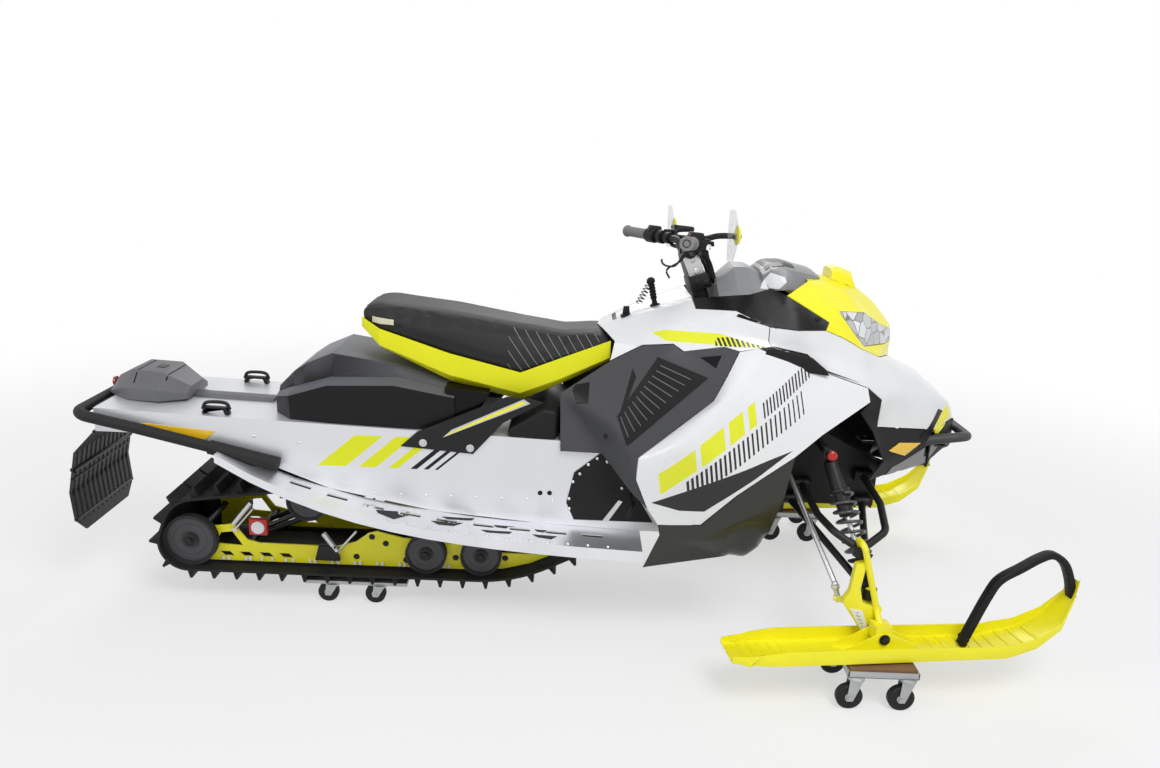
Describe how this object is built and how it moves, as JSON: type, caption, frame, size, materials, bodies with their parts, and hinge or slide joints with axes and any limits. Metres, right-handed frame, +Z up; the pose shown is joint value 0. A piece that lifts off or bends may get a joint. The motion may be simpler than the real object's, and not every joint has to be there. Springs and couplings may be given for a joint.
{
  "type": "snowmobile on transport dollies",
  "caption": "Trail snowmobile with a rubber track under a metal tunnel, steered skis on tubular arms, straddle seat, rear box and snow flap, standing on caster dollies.",
  "frame": {"origin": "on the floor under the dolly casters, halfway along and across the machine", "axes": "+X forward, +Y to the rider's left, +Z up"},
  "size_m": [3.0415, 1.3222, 1.2872],
  "materials": {
    "bare_alloy": "satin",
    "black_plastic": "satin",
    "grey_plastic": "satin",
    "rubber_sleeve": "matte",
    "smoky_flap": "satin",
    "gloss_black": "gloss",
    "seat_vinyl": "matte",
    "yellow_plastic": "gloss",
    "black_metal": "satin",
    "white_panel": "gloss",
    "clear_lens": "gloss",
    "olive_plastic": "gloss",
    "engine_alloy": "cast",
    "shock_steel": "satin",
    "bright_steel": "satin",
    "yellow_metal": "gloss",
    "track_rubber": "matte",
    "grip_rubber": "matte"
  },
  "bodies": {
    "chassis": {"tunnel": "bare_alloy", "running_boards": "bare_alloy", "foot_wells": "black_plastic", "tail_cover": "grey_plastic", "centre_strip": "grey_plastic", "rear_bumper": "rubber_sleeve", "snow_flap": "smoky_flap", "cargo_anchors": "black_plastic", "rear_box_base": "gloss_black", "rear_box_lid": "gloss_black", "seat_cushion": "seat_vinyl", "seat_skirt": "yellow_plastic", "seat_struts": "black_metal", "fuel_tank": "black_plastic", "side_consoles": "grey_plastic", "console_shroud": "white_panel", "upper_side_panels": "gloss_black", "instrument_cluster": "grey_plastic", "headlight_pod": "yellow_plastic", "windshield": "yellow_plastic", "headlight_lenses": "clear_lens", "hood": "white_panel", "side_panels": "white_panel", "belly_panels": "olive_plastic", "nose_fascia": "black_plastic", "front_bumper": "grey_plastic", "engine_block": "engine_alloy", "front_subframe": "black_metal", "upper_arms": "black_metal", "lower_arms": "black_metal", "front_shocks": "shock_steel", "tie_rods": "bright_steel", "steering_column": "black_metal", "suspension_rails": "yellow_metal", "slide_shoes": "black_plastic", "track_wheels": "grey_plastic", "track_arms": "black_metal", "track_shocks": "shock_steel", "ice_scratchers": "bright_steel", "drive_axle": "black_plastic", "track": "track_rubber", "track_dolly": "bright_steel"},
    "steering_bar": {"handlebar": "black_metal", "grips": "grip_rubber", "bar_controls": "black_plastic", "hand_guards": "yellow_plastic"},
    "right_ski": {"spindle_right": "yellow_metal", "ski_right": "yellow_plastic", "ski_loop_right": "grip_rubber", "ski_dolly_right": "bright_steel"},
    "left_ski": {"spindle_left": "yellow_metal", "ski_left": "yellow_plastic", "ski_loop_left": "grip_rubber", "ski_dolly_left": "bright_steel"}
  },
  "joints": [
    {"name": "handlebar_steer", "type": "hinge", "parent": "chassis", "child": "steering_bar", "pos_m": [0.418, 0, 1.046], "axis": [-0.3584, 0, 0.9336], "range_deg": [-45, 25]},
    {"name": "right_ski_steer", "type": "hinge", "parent": "chassis", "child": "right_ski", "pos_m": [0.905, -0.47, 0.272], "axis": [-0.2873, 0, 0.9578], "range_deg": [-36, 20]},
    {"name": "left_ski_steer", "type": "hinge", "parent": "chassis", "child": "left_ski", "pos_m": [0.905, 0.47, 0.272], "axis": [-0.2873, 0, 0.9578], "range_deg": [-36, 20]}
  ],
  "couplings": [
    {"joint": "right_ski_steer", "follows": "handlebar_steer", "ratio": 0.8},
    {"joint": "left_ski_steer", "follows": "handlebar_steer", "ratio": 0.8}
  ]
}
